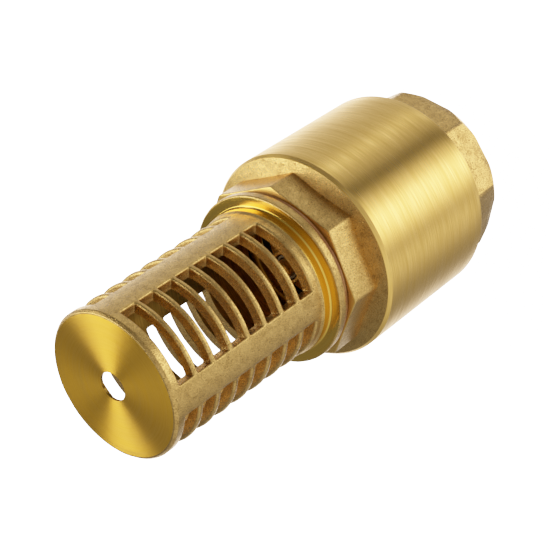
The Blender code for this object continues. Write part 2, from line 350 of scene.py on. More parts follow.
def uneven(obj: bpy.types.Object, depth: float, spacing: float, cast: int) -> None:
    """Moves the vertices of the rough casting skin in and out a little, and leaves machined faces alone.

    Args:
        obj: The piece.
        depth: Greatest movement.
        spacing: Distance between swells.
        cast: Index of the casting's material slot.
    """
    mesh = obj.data
    machined = {v for p in mesh.polygons if p.material_index != cast for v in p.vertices}
    for vertex in mesh.vertices:
        if vertex.index in machined:
            continue
        place = vertex.co / (spacing * MM)
        swell = noise.noise(place) + 0.5 * noise.noise(place * 2.7)
        vertex.co += vertex.normal * swell * depth * MM


# ---------------------------------------------------------------- finishes


class Graph:
    """A material's node tree, with short calls for the nodes that the finishes share."""

    def __init__(self, name: str) -> None:
        """Starts an empty material with one Principled shader.

        Args:
            name: Name of the material.
        """
        self.material = bpy.data.materials.new(name)
        self.material.use_nodes = True
        self.tree = self.material.node_tree
        self.tree.nodes.clear()
        self.shader = self.node("BsdfPrincipled")
        output = self.node("OutputMaterial")
        self.feed(output.inputs["Surface"], self.shader.outputs["BSDF"])

    def node(self, kind: str, **settings: object) -> bpy.types.Node:
        """Adds a shader node and sets its properties.

        Args:
            kind: The node's type, without its ShaderNode prefix.
            settings: Properties of the node.

        Returns:
            The node.
        """
        made = self.tree.nodes.new(f"ShaderNode{kind}")
        for key, value in settings.items():
            setattr(made, key, value)
        return made

    def feed(self, socket: bpy.types.NodeSocket, value: object) -> None:
        """Links a socket, or sets its constant.

        Args:
            socket: The input.
            value: An output to link, or a number or colour.
        """
        if isinstance(value, bpy.types.NodeSocket):
            self.tree.links.new(value, socket)
        elif isinstance(value, tuple) and socket.type == "RGBA":
            socket.default_value = (*value[:3], 1.0)
        else:
            socket.default_value = value

    def math(self, operation: str, *values: object) -> bpy.types.NodeSocket:
        """Adds a Math node.

        Args:
            operation: What it works out.
            values: Its inputs, linked or constant.

        Returns:
            The result.
        """
        made = self.node("Math", operation=operation)
        for socket, value in zip(made.inputs, values):
            self.feed(socket, value)
        return made.outputs[0]

    def weigh(self, first: object, second: object, share: float) -> bpy.types.NodeSocket:
        """Adds two values by their weight.

        Args:
            first: The first value.
            second: The second value.
            share: Weight of the first, which leaves the rest for the second.

        Returns:
            The sum.
        """
        parts = [self.math("MULTIPLY", first, share), self.math("MULTIPLY", second, 1 - share)]
        return self.math("ADD", *parts)

    def place(self) -> bpy.types.NodeSocket:
        """Gives the place on the piece, in millimetres.

        Returns:
            The place as a vector.
        """
        scaled = self.node("VectorMath", operation="SCALE")
        self.feed(scaled.inputs[0], self.node("TexCoord").outputs["Object"])
        self.feed(scaled.inputs["Scale"], 1 / MM)
        return scaled.outputs[0]

    def noise(self, place: object, size: float, detail: float = 2.0,
              rough: float = 0.5) -> bpy.types.NodeSocket:
        """Adds smooth noise whose swells are about the given size across.

        Args:
            place: Where it is read.
            size: Size of the swells.
            detail: How many finer layers it has.
            rough: Strength of the finer layers.

        Returns:
            The noise.
        """
        made = self.node("TexNoise", noise_dimensions="3D")
        self.feed(made.inputs["Vector"], place)
        self.feed(made.inputs["Scale"], 1 / size)
        self.feed(made.inputs["Detail"], detail)
        self.feed(made.inputs["Roughness"], rough)
        return made.outputs["Fac"]

    def span(self, value: object, low: float, high: float, to_low: float = 0.0,
             to_high: float = 1.0) -> bpy.types.NodeSocket:
        """Maps a stretch of values onto another, clamped at both ends.

        Args:
            value: What is mapped.
            low: Where the stretch starts.
            high: Where it ends.
            to_low: Result at its start.
            to_high: Result at its end.

        Returns:
            The mapped value.
        """
        made = self.node("MapRange", interpolation_type="SMOOTHSTEP")
        for socket, number in zip(made.inputs, (value, low, high, to_low, to_high)):
            self.feed(socket, number)
        return made.outputs[0]

    def blend(self, share: object, first: object, second: object) -> bpy.types.NodeSocket:
        """Mixes two colours.

        Args:
            share: Share of the second.
            first: The first colour.
            second: The second colour.

        Returns:
            The mixed colour.
        """
        made = self.node("Mix", data_type="RGBA")
        self.feed(made.inputs[0], share)
        self.feed(made.inputs[6], first)
        self.feed(made.inputs[7], second)
        return made.outputs[2]

    def bump(self, height: object, depth: float, below: object = None) -> bpy.types.NodeSocket:
        """Raises the surface by a height field of the given depth in millimetres.

        Args:
            height: The height field.
            depth: Its depth.
            below: A normal that it adds to.

        Returns:
            The normal.
        """
        made = self.node("Bump")
        self.feed(made.inputs["Strength"], 1.0)
        self.feed(made.inputs["Distance"], depth * MM)
        self.feed(made.inputs["Height"], height)
        if below is not None:
            self.feed(made.inputs["Normal"], below)
        return made.outputs[0]

    def surface(self, colour: object, roughness: object, normal: object,
                **constants: object) -> bpy.types.Material:
        """Feeds the shader and sets its constants on its own sockets.

        Args:
            colour: Base colour.
            roughness: Roughness.
            normal: Normal.
            constants: Other sockets, with underscores for spaces.

        Returns:
            The material.
        """
        self.feed(self.shader.inputs["Base Color"], colour)
        self.feed(self.shader.inputs["Roughness"], roughness)
        self.feed(self.shader.inputs["Normal"], normal)
        for key, value in constants.items():
            self.feed(self.shader.inputs[key.replace("_", " ")], value)
        return self.material

    def lathe_lines(self, size: float, wander: float) -> bpy.types.NodeSocket:
        """Makes the fine rings that a cutting tool leaves round the axis.

        Args:
            size: Width of a ring.
            wander: Distance round the piece over which a ring changes.

        Returns:
            Noise that runs along the rings.
        """
        axes = self.node("SeparateXYZ")
        self.feed(axes.inputs[0], self.place())
        x, y, z = axes.outputs
        radius = self.math("SQRT", self.math("ADD", self.math("MULTIPLY", x, x), self.math("MULTIPLY", y, y)))
        packed = self.node("CombineXYZ")
        self.feed(packed.inputs[0], self.math("DIVIDE", radius, size))
        self.feed(packed.inputs[1], self.math("DIVIDE", x, wander))
        self.feed(packed.inputs[2], self.math("DIVIDE", y, wander))
        made = self.node("TexNoise", noise_dimensions="4D")
        self.feed(made.inputs["Vector"], packed.outputs[0])
        self.feed(made.inputs["W"], self.math("DIVIDE", z, size))
        self.feed(made.inputs["Scale"], 1.0)
        self.feed(made.inputs["Detail"], 2.0)
        return made.outputs["Fac"]


@dataclass(frozen=True)
class TurnedBrass:
    """Brass as it leaves the lathe, with fine rings and a highlight drawn out across them."""

    name: str = "turned_brass"
    tone: Colour = (0.90, 0.545, 0.15)
    shade: Colour = (0.70, 0.41, 0.085)
    roughness: float = 0.3
    line: float = 0.22
    depth: float = 0.006
    draw: float = 0.75
    wander: float = 9.0
    broad_line: float = 7.0
    broad_wander: float = 30.0
    stain: float = 7.0

    def build(self) -> bpy.types.Material:
        """Builds the material.

        Returns:
            The material.
        """
        graph = Graph(self.name)
        fine = graph.lathe_lines(self.line, self.wander)
        broad = graph.lathe_lines(self.line * self.broad_line, self.broad_wander)
        stain = graph.noise(graph.place(), self.stain, 3.0)
        lines = graph.weigh(fine, broad, 0.75)
        colour = graph.blend(graph.span(lines, 0.36, 0.64), self.shade, self.tone)
        colour = graph.blend(graph.span(stain, 0.35, 0.75, 0.0, 0.25), colour, self.shade)
        rough = graph.span(lines, 0.3, 0.7, self.roughness + 0.07, self.roughness - 0.05)
        tangent = graph.node("Tangent", direction_type="RADIAL", axis="Z")
        normal = graph.bump(fine, self.depth)
        return graph.surface(colour, rough, normal, Metallic=1.0, Anisotropic=self.draw,
                             Anisotropic_Rotation=0.25, Tangent=tangent.outputs[0])


@dataclass(frozen=True)
class CastBrass:
    """Shot-blasted cast brass: a matt, grainy skin with darker hollows and small pits."""

    name: str = "cast_brass"
    tone: Colour = (0.66, 0.40, 0.12)
    shade: Colour = (0.32, 0.18, 0.045)
    roughness: float = 0.30
    grain: float = 0.32
    depth: float = 0.08
    mottle: float = 2.4
    pit: float = 0.7

    def build(self) -> bpy.types.Material:
        """Builds the material.

        Returns:
            The material.
        """
        graph = Graph(self.name)
        place = graph.place()
        grain = graph.noise(place, self.grain, 3.0, 0.6)
        mottle = graph.noise(place, self.mottle, 3.0, 0.55)
        pits = graph.span(graph.noise(place, self.pit, 1.0), 0.26, 0.34)
        mixed = graph.weigh(grain, mottle, 0.7)
        colour = graph.blend(graph.span(mixed, 0.34, 0.60), self.shade, self.tone)
        colour = graph.blend(pits, self.shade, colour)
        rough = graph.span(mixed, 0.35, 0.65, self.roughness + 0.1, self.roughness - 0.06)
        normal = graph.bump(grain, self.depth)
        normal = graph.bump(pits, self.depth * 0.6, normal)
        return graph.surface(colour, rough, normal, Metallic=1.0)


@dataclass(frozen=True)
class Moulded:
    """Rubber, fibre or plastic with a fine moulded or pressed grain."""

    name: str
    tone: Colour
    shade: Colour
    roughness: float = 0.6
    grain: float = 0.3
    depth: float = 0.01
    gloss: float = 0.4
    cloud: float = 9.0

    def build(self) -> bpy.types.Material:
        """Builds the material.

        Returns:
            The material.
        """
        graph = Graph(self.name)
        place = graph.place()
        grain = graph.noise(place, self.grain, 3.0)
        cloud = graph.noise(place, self.grain * self.cloud, 2.0)
        mixed = graph.weigh(grain, cloud, 0.5)
        colour = graph.blend(graph.span(mixed, 0.35, 0.65), self.shade, self.tone)
        rough = graph.span(mixed, 0.3, 0.7, self.roughness + 0.08, self.roughness - 0.08)
        return graph.surface(colour, rough, graph.bump(grain, self.depth), Specular_IOR_Level=self.gloss)


@dataclass(frozen=True)
class DrawnSteel:
    """Drawn or pressed stainless steel with fine scratches."""

    name: str = "stainless_steel"
    tone: Colour = (0.62, 0.61, 0.58)
    shade: Colour = (0.42, 0.41, 0.39)
    roughness: float = 0.28
    scratch: float = 0.12
    wander: float = 2.0
    cloud: float = 1.8
    depth: float = 0.004

    def build(self) -> bpy.types.Material:
        """Builds the material.

        Returns:
            The material.
        """
        graph = Graph(self.name)
        scratch = graph.lathe_lines(self.scratch, self.wander)
        cloud = graph.noise(graph.place(), self.cloud, 3.0)
        colour = graph.blend(graph.span(scratch, 0.35, 0.65), self.shade, self.tone)
        rough = graph.span(cloud, 0.3, 0.7, self.roughness + 0.08, self.roughness - 0.06)
        return graph.surface(colour, rough, graph.bump(scratch, self.depth), Metallic=1.0)


class Finishes:
    """Every material of the valve, made once."""

    def __init__(self) -> None:
        """Builds the materials."""
        self.cast = CastBrass().build()
        self.turned = TurnedBrass().build()
        self.faced = TurnedBrass("faced_brass", tone=(0.92, 0.50, 0.06), shade=(0.84, 0.44, 0.035),
                                 roughness=0.42, line=0.14, depth=0.002, draw=0.92).build()
        # Bored brass for the inside: tone and shade painted about half as bright as the turned brass, as
        # painted shade for the dark inside of the valve.
        self.bored_painted_shade = TurnedBrass("bored_brass_painted_shade", tone=(0.42, 0.24, 0.045), shade=(0.28, 0.15, 0.02),
                                 roughness=0.34, line=0.4, depth=0.012, draw=0.5).build()
        self.polished = TurnedBrass("bright_turned_brass", tone=(0.80, 0.49, 0.09), shade=(0.72, 0.42, 0.06),
                                    roughness=0.17, line=0.3, depth=0.002, draw=0.2).build()
        self.rubber = Moulded("nitrile_rubber", tone=(0.028, 0.028, 0.03), shade=(0.014, 0.014, 0.015),
                              roughness=0.62).build()
        self.fibre = Moulded("vulcanised_fibre", tone=(0.36, 0.16, 0.04), shade=(0.24, 0.09, 0.02),
                             roughness=0.66, grain=0.4).build()
        self.plastic = Moulded("acetal", tone=(0.36, 0.30, 0.20), shade=(0.28, 0.23, 0.15),
                               roughness=0.38, grain=0.6, depth=0.004).build()
        self.steel = DrawnSteel().build()


def dress(obj: bpy.types.Object, base: bpy.types.Material,
          zones: Iterable[tuple[bpy.types.Material, Test]] = (), angle: float = 32.0) -> bpy.types.Object:
    """Gives a piece its materials and smooth shading with crisp edges.

    Args:
        obj: The piece.
        base: Material of every face that no zone claims.
        zones: Material and test of (centre, normal) in millimetres; the first that passes claims the face.
        angle: Edges sharper than this stay crisp, in degrees.

    Returns:
        The piece.
    """
    mesh = obj.data
    mesh.materials.clear()
    mesh.materials.append(base)
    listed = list(zones)
    for material, _ in listed:
        mesh.materials.append(material)
    for face in mesh.polygons:
        centre = face.center / MM
        claims = (i + 1 for i, (_, test) in enumerate(listed) if test(centre, face.normal))
        face.material_index = next(claims, 0)
    mesh.shade_smooth()
    mesh.set_sharp_from_angle(angle=math.radians(angle))
    return obj


def fit(obj: bpy.types.Object, body: Body, slot: Slot, *nodes: str) -> bpy.types.Object:
    """Puts a finished piece on its body, in place of its frame nodes, and reports it.

    Args:
        obj: The piece.
        body: The body that it rides on.
        slot: Not used.
        nodes: Frame nodes that it stands for.

    Returns:
        The piece.
    """
    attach(obj, body.value)
    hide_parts(*nodes)
    LOG.info("%s: %d faces, rides on %s", obj.name, len(obj.data.polygons), body.value)
    return obj


def radius_of(centre: Vector) -> float:
    """Distance from the axis."""
    return math.hypot(centre.x, centre.y)


def flat_ring(name: str, bore: float, extent: Extent, edge: float, material: bpy.types.Material,
              body: Body, slot: Slot, node: str) -> bpy.types.Object:
    """Makes a flat ring with broken edges and puts it in place.

    Args:
        name: Name of the piece.
        bore: Radius of its hole.
        extent: Its height and outer radius.
        edge: Rounding of its edges.
        material: Its material.
        body: The body that it rides on.
        slot: Its material slot.
        node: The frame node that it stands for.

    Returns:
        The piece.
    """
    corners = [(bore, extent.low, edge), (extent.radius, extent.low, edge)]
    corners += [(extent.radius, extent.high, edge), (bore, extent.high, edge)]
    return fit(dress(turned(name, rounded(corners), 96), material), body, slot, node)


# ---------------------------------------------------------------- pieces


@dataclass
class Strainer:
    """The cast basket: a closed end, four windows of curved rungs, a neck and a threaded tail."""

    extent: Extent = field(default_factory=lambda: Extent.of("strainer"))
    bore: float = 17.6
    end_wall: float = 2.6
    hole: float = 3.95
    hole_wall: float = 0.7
    face: float = 19.5
    basket: float = 20.45
    root: float = 20.85
    flange: Point = (69.9, 72.5)
    neck: float = 21.2
    neck_top: float = 75.1
    ring_top: float = 77.9
    tail: float = 20.2
    windows: int = 4
    window_arc: float = math.radians(66)
    first_window: float = math.radians(-82)
    slots: int = 8
    slot_pitch: float = 6.42
    slot_width: float = 4.8
    crest: float = 0.74
    rib_edge: float = 0.35
    fillet: float = 0.35
    shoulder: float = 0.75
    undercut: Point = (0.9, 1.2)
    undercut_run: float = 0.7
    tail_chamfer: float = 0.8
    bright_reach: float = 24.1
    rough: Point = (0.05, 3.0)

    def wall(self, height: float) -> float:
        """Radius of the basket's outside at a height."""
        share = (height - self.ring_top) / (self.extent.high - self.ring_top)
        return self.root + (self.basket - self.root) * share

    def outline(self) -> list[Point]:
        """Half section of the casting before its slots are cut.

        Returns:
            The outline's points.
        """
        foot, top, reach = self.extent.low, self.extent.high, self.extent.radius
        low, high = self.flange
        waist, groove_end = self.tail - self.undercut[0], low - self.undercut[1]
        corners = [(self.hole, top, SHARP), (self.face, top, SHARP)]
        corners += [(self.face + self.fillet, top - 5 * NEAR, SOFT_EDGE)]
        corners += [(self.basket, top - self.shoulder, 0.6)]
        corners += [(self.root, self.neck_top + self.shoulder, 0.5)]
        corners += [(self.neck + 5 * NEAR, self.neck_top - 10 * NEAR, EDGE)]
        corners += [(self.neck, high + self.fillet, SHARP)]
        corners += [(self.neck + self.fillet, high, SOFT_EDGE), (reach, high, 0.45), (reach, low, 0.5)]
        corners += [(waist, low, EDGE), (waist, groove_end, EDGE)]
        corners += [(self.tail, groove_end - self.undercut_run, SHARP)]
        corners += [(self.tail, foot + self.tail_chamfer, SHARP)]
        corners += [(self.tail - self.tail_chamfer, foot, SHARP)]
        corners += [(self.bore, foot, EDGE), (self.bore, top - self.end_wall, 1.2)]
        corners += [(self.hole, top - self.hole_wall, FINE_EDGE)]
        return split_long(rounded(corners), 2.2)

    def pocket(self, bm: bmesh.types.BMesh, middle: float, height: float) -> None:
        """Adds the solid that cuts one slot, flared where the rungs are rounded.

        Args:
            bm: Mesh of the cutter.
            middle: Angle of the slot's middle.
            height: Height of the slot's middle.
        """
        wall = self.wall(height)
        half_arc = self.window_arc / 2
        half = self.slot_width / 2
        sections = [(self.bore - 2.0, 0.0, 0.0)]
        for share in (0.0, 0.3, 0.55, 0.75, 0.9, 1.0):
            lean = math.radians(90 * share)
            flare = 1 - math.cos(lean)
            inset = self.crest * (1 - math.sin(lean))
            sections.append((wall - inset, self.crest * flare, self.rib_edge * flare))
        sections.append((wall + 1.6, self.crest, self.rib_edge))
        stations = self.stations()
        loops = []
        for radius, flare, spread in sections:
            loop = []
            for side in (1, -1):
                for along, tall in stations[::side]:
                    angle = middle + along * (half_arc + spread / wall)
                    loop.append(bm.verts.new(on_axis(radius, angle, height + side * tall * (half + flare))))
            loops.append(loop)
        skin(bm, loops, ring=False, caps=False)
        for loop in (loops[0], loops[-1]):
            for k in range(len(stations) - 1):
                bm.faces.new((loop[k], loop[k + 1], loop[-k - 2], loop[-k - 1]))

    @staticmethod
    def stations(steps: int = 18, nick: float = 0.04, cut: float = 0.17) -> list[Point]:
        """The half outline of a slot: places along it from -1 to 1, each with its share of the half width.

        Args:
            steps: Number of stretches between the rounded ends.
            nick: Length of an end's rounding.
            cut: How much narrower the slot is at its very end.

        Returns:
            The places and shares.
        """
        bend = [(1.0, 1 - cut), (1 - 0.3 * nick, 1 - 0.3 * cut), (1 - nick, 1.0)]
        straight = [(-1 + nick + (2 - 2 * nick) * k / steps, 1.0) for k in range(1, steps)]
        return [(-x, y) for x, y in bend] + straight + bend[::-1]

    def build(self, finishes: Finishes) -> bpy.types.Object:
        """Casts the basket, cuts its slots and dresses it.

        Args:
            finishes: The valve's materials.

        Returns:
            The piece.
        """
        obj = turned("strainer_casting", self.outline(), 144, math.radians(1.1))
        bm = bmesh.new()
        for window in range(self.windows):
            for slot in range(self.slots):
                height = self.ring_top + self.slot_width / 2 + slot * self.slot_pitch
                self.pocket(bm, self.first_window + TAU * window / self.windows, height)
        combine(obj, link("slots", bm), "DIFFERENCE")
        dress(obj, finishes.cast, self.zones(finishes))
        uneven(obj, *self.rough, cast=0)
        return fit(obj, Body.VALVE, Slot.CAST, "strainer")

    def zones(self, finishes: Finishes) -> list[tuple[bpy.types.Material, Test]]:
        """The machined faces: end face, bore, neck, flange face and tail; the bore gets brass painted dark as
        painted shade.

        Args:
            finishes: The valve's materials.

        Returns:
            Each zone's material and test.
        """
        top, neck_top, flange_top = self.extent.high, self.neck_top, self.flange[1]
        return [
            (finishes.faced, lambda c, n: c.z > top - NEAR and n.z > 0.99),
            # The bore: brass painted dark, as painted shade inside the basket.
            (finishes.bored_painted_shade, lambda c, n: radius_of(c) < self.bore + 2 * NEAR),
            (finishes.polished, lambda c, n: flange_top - 2 * NEAR < c.z < neck_top - 5 * NEAR
             and radius_of(c) < self.bright_reach),
            (finishes.turned, lambda c, n: c.z < self.flange[0] + 2 * NEAR),
        ]


@dataclass
class Gasket:
    """The fibre washer between the body and the strainer's flange."""

    extent: Extent = field(default_factory=lambda: Extent.of("strainer_gasket"))
    bore: float = 21.25
    swell: float = 0.12

    def build(self, finishes: Finishes) -> bpy.types.Object:
        """Presses the washer, a little swollen at its rim.

        Args:
            finishes: The valve's materials.

        Returns:
            The piece.
        """
        low, high, reach = self.extent.low, self.extent.high, self.extent.radius
        middle = (low + high) / 2
        corners = [(self.bore, low, FINE_EDGE), (reach - self.swell, low, FINE_EDGE)]
        corners += [(reach, middle, SOFT_EDGE)]
        corners += [(reach - self.swell, high, FINE_EDGE), (self.bore, high, FINE_EDGE)]
        obj = dress(turned("gasket", rounded(corners)), finishes.fibre)
        return fit(obj, Body.VALVE, Slot.FIBRE, "strainer_gasket")


@dataclass
class ValveBody:
    """The turned body: a plain cylinder, an octagon for the spanner, the seat and the stem's upper guide."""

    extent: Extent = field(default_factory=lambda: Extent.of("body"))
    cylinder_top: float = 57.2
    flange_top: float = 58.2
    rim: float = 29.15
    flats: float = 48.4
    turn: float = math.radians(3)
    thread: float = 20.5
    shoulder: float = 58.4
    seat_bore: float = 16.0
    seat_nose: float = 17.4
    seat: float = 53.0
    chamber: float = 25.8
    chamber_bottom: float = 33.0
    joint: float = 22.7
    groove: Point = (24.6, 16.65)
    hub: Extent = Extent(57.5, 64.6, 5.0)
    hub_bore: float = 3.8
    arm: float = 3.0
    arm_count: int = 4
    arm_foot: float = 55.4
    arm_turn: float = math.radians(12)
    core: float = 18.0
    octagon_root: float = 23.6
    web: float = 1.05
    octagon_overlap: float = 3.0
    entry: float = 0.8
    seat_step: float = 1.6
    joint_taper: float = 2.5

    def shell(self) -> bpy.types.Object:
        """The outside: cylinder, rim and octagon.

        Returns:
            The solid.
        """
        back, reach = self.extent.low, self.extent.radius
        front = self.flange_top + self.web
        corners = [(self.core, back, SHARP), (reach, back, 0.35), (reach, self.cylinder_top, 0.12)]
        corners += [(self.rim, self.flange_top, 0.12), (self.octagon_root, front, SHARP)]
        corners += [(self.core, front, SHARP)]
        obj = turned("valve_body", split_long(rounded(corners), 4.0), 192)
        root = self.flange_top - self.octagon_overlap
        octagon = prism("octagon", self.flats, root, self.extent.high, 8, self.turn, 0.7, 0.3)
        return combine(obj, octagon, "UNION")

    def bores(self) -> list[Point]:
        """Half section of everything that is cut away inside.

        Returns:
            The outline's points.
        """
        top, back, edge = self.extent.high, self.extent.low, self.thread
        mouth, roof = edge + self.entry, self.seat + self.seat_step
        groove, groove_top = self.groove
        corners = [(0.0, top + OVER, SHARP), (mouth, top + OVER, SHARP), (mouth, top, SHARP)]
        corners += [(edge, top - self.entry, SHARP), (edge, self.shoulder, EDGE)]
        corners += [(self.seat_bore, self.shoulder, 0.8), (self.seat_bore, self.seat, 0.15)]
        corners += [(self.seat_nose, self.seat, EDGE), (self.seat_nose + 0.8, roof, 0.4)]
        corners += [(self.chamber, roof, 3.0), (self.chamber, self.chamber_bottom, 0.5)]
        corners += [(self.joint, self.chamber_bottom - self.joint_taper, SOFT_EDGE)]
        corners += [(self.joint, groove_top, EDGE)]
        corners += [(groove, groove_top - 0.2, EDGE), (groove, back - OVER, SHARP)]
        corners += [(0.0, back - OVER, SHARP)]
        return rounded(corners)

    def spider(self, obj: bpy.types.Object) -> None:
        """Adds the four arms and the hub that guide the stem in the inlet.

        Args:
            obj: The solid that they join.
        """
        low, high, reach = self.hub.low, self.hub.high, self.hub.radius
        wall = self.seat_bore + self.seat_step
        side = [(self.hub_bore + 0.6, low + 0.4), (self.seat_bore - 0.8, self.arm_foot)]
        side += [(wall, self.seat + 1.4)]
        side += [(wall, self.shoulder - 0.6), (self.seat_bore - 1.2, self.shoulder - 0.1)]
        side += [(reach + 1.0, high - 2.0), (self.hub_bore + 0.6, high - 1.4)]
        combine(obj, arms("arms", side, self.arm, self.arm_count, self.arm_turn), "UNION")
        ends = [(self.hub_bore, low, EDGE), (self.hub_bore, high, SOFT_EDGE), (reach, high, 1.2)]
        ends += [(reach, low, 0.4)]
        combine(obj, turned("hub", rounded(ends), 48), "UNION")

    def build(self, finishes: Finishes) -> bpy.types.Object:
        """Turns and bores the body and dresses it.

        Args:
            finishes: The valve's materials.

        Returns:
            The piece.
        """
        obj = self.shell()
        combine(obj, turned("bores", self.bores(), 144), "DIFFERENCE")
        self.spider(obj)
        dress(obj, finishes.cast, self.zones(finishes))
        return fit(obj, Body.VALVE, Slot.TURNED, "body")

    def zones(self, finishes: Finishes) -> list[tuple[bpy.types.Material, Test]]:
        """Machined faces: everything but the octagon's flats, the front of the flange and the spider; the
        bores inside get brass painted dark as painted shade.

        Args:
            finishes: The valve's materials.

        Returns:
            Each zone's material and test.
        """
        top = self.extent.high
        return [
            (finishes.turned, lambda c, n: radius_of(c) > self.rim - 0.2 and c.z < self.flange_top),
            (finishes.turned, lambda c, n: c.z > top - 0.05 and n.z > 0.9),
            (finishes.cast, lambda c, n: radius_of(c) > self.thread + 1 and c.z > self.flange_top - 0.1),
            (finishes.cast, lambda c, n: radius_of(c) < self.seat_bore - 0.1 and c.z > self.seat),
            # Everything left inside: brass painted dark, as painted shade in the bores.
            (finishes.bored_painted_shade, lambda c, n: True),
        ]


@dataclass
class OutletEnd:
    """The octagonal end with its female pipe thread, the nose inside the body and the stem's lower guide."""

    extent: Extent = field(default_factory=lambda: Extent.of("outlet_end"))
    flats: float = 49.6
    turn: float = math.radians(12.5)
    octagon_top: float = 13.8
    crown: float = 25.2
    crown_slope: float = math.radians(60)
    thread_crest: float = 19.5
    thread_root: float = 20.95
    thread_depth: float = 15.9
    mouth: float = 21.9
    pitch: float = 2.309
    bore: float = 17.0
    nose: float = 22.4
    neck: float = 22.0
    neck_top: float = 16.75
    hub: Extent = Extent(19.0, 27.5, 5.4)
    hub_bore: float = 3.8
    arm: float = 3.0
    arm_count: int = 4
    arm_turn: float = math.radians(35)
    crown_reach: float = 4.0
    crown_height: float = 20.0
    mouth_depth: float = 1.5
    thread_turns: float = 6.6
    thread_steps: int = 72
    thread_start: float = 1.2
    thread_fade: float = 0.6
    thread_cover: float = 0.3
    thread_flat: float = 0.12
    flank: float = 0.46
    least_flank: float = 0.25

    def thread(self) -> bpy.types.Object:
        """The helical ridge of cutter that leaves the pipe thread.

        Returns:
            The cutter.
        """
        bm = bmesh.new()
        steps, turns = self.thread_steps, self.thread_turns
        base = self.thread_crest - self.thread_cover
        loops = []
        for i in range(int(steps * turns) + 1):
            height = self.pitch * i / steps - self.thread_start * self.pitch
            fade = min(1.0, (turns * steps - i) / (steps * self.thread_fade))
            root = base + (self.thread_root - base) * fade
            flank = self.pitch * self.flank * max(fade, self.least_flank)
            section = [(base, -flank), (root, -self.thread_flat), (root, self.thread_flat), (base, flank)]
            loops.append([bm.verts.new(on_axis(r, TAU * i / steps, height + z)) for r, z in section])
        skin(bm, loops, ring=False, caps=True)
        return link("thread_cutter", bm)

    def shell(self) -> bpy.types.Object:
        """The octagon with its crowned end, and the nose that seals in the body.

        Returns:
            The solid.
        """
        obj = prism("outlet_casting", self.flats, -OVER, self.octagon_top, 8, self.turn, 0.8, 0.25)
        wide = self.crown + self.crown_reach
        rise = self.crown_reach * math.tan(self.crown_slope)
        corners = [(0, 0, SHARP), (self.crown, 0, 0.25), (wide, rise, SHARP)]
        corners += [(wide, self.crown_height, SHARP), (0, self.crown_height, SHARP)]
        combine(obj, turned("crown", rounded(corners), 160), "INTERSECT")
        top, foot, core = self.extent.high, self.octagon_top - OVER, self.bore - OVER
        corners = [(core, foot, SHARP), (self.neck, foot, SHARP), (self.neck, self.neck_top, FINE_EDGE)]
        corners += [(self.nose, self.neck_top + 0.4, FINE_EDGE), (self.nose, top, 0.7), (core, top, SHARP)]
        return combine(obj, turned("nose", rounded(corners), 144), "UNION")

    def build(self, finishes: Finishes) -> bpy.types.Object:
        """Casts, bores and threads the end and dresses it.

        Args:
            finishes: The valve's materials.

        Returns:
            The piece.
        """
        obj = self.shell()
        top, step = self.extent.high, self.thread_depth
        flare = 1.2
        corners = [(0, -OVER, SHARP), (self.mouth + self.mouth_depth, -OVER, SHARP)]
        corners += [(self.thread_crest, self.mouth_depth, SHARP), (self.thread_crest, step - flare, EDGE)]
        corners += [(self.thread_root, step - 1.0, EDGE), (self.thread_root, step, EDGE)]
        corners += [(self.bore, step, 0.6)]
        corners += [(self.bore, top - flare, SHARP), (self.bore + flare, top, SHARP)]
        corners += [(self.bore + flare, top + OVER, SHARP), (0, top + OVER, SHARP)]
        combine(obj, turned("outlet_bore", rounded(corners), 144), "DIFFERENCE")
        combine(obj, self.thread(), "DIFFERENCE")
        self.spider(obj)
        dress(obj, finishes.cast, self.zones(finishes))
        return fit(obj, Body.VALVE, Slot.CAST, "outlet_end")

    def spider(self, obj: bpy.types.Object) -> None:
        """Adds the four arms and the hub that guide the stem in the outlet.

        Args:
            obj: The solid that they join.
        """
        low, high, reach = self.hub.low, self.hub.high, self.hub.radius
        rest = Extent.of("spring_washer").low - 0.3
        side = [(self.hub_bore + 0.6, low + 1.4), (self.bore + 1.0, low + 2.6)]
        side += [(self.bore + 1.0, rest), (self.hub_bore + 0.6, rest)]
        combine(obj, arms("arms", side, self.arm, self.arm_count, self.arm_turn), "UNION")
        ends = [(self.hub_bore, low, EDGE), (reach, low, 0.9), (reach, high, 0.4)]
        ends += [(self.hub_bore, high, EDGE)]
        combine(obj, turned("hub", rounded(ends), 48), "UNION")

    def zones(self, finishes: Finishes) -> list[tuple[bpy.types.Material, Test]]:
        """Machined faces: the end face and its crown, the bore with its thread, and the nose; bore and thread
        get brass painted dark as painted shade.

        Args:
            finishes: The valve's materials.

        Returns:
            Each zone's material and test.
        """
        return [
            (finishes.turned, lambda c, n: n.z < -0.3 and c.z < 2.5 and radius_of(c) > self.thread_crest),
            (finishes.turned, lambda c, n: c.z > self.octagon_top + 0.1 and radius_of(c) > self.bore + 2),
            # Bore and thread: brass painted dark, as painted shade inside the end.
            (finishes.bored_painted_shade, lambda c, n: self.bore - 0.1 < radius_of(c) < self.thread_root + 0.8),
        ]


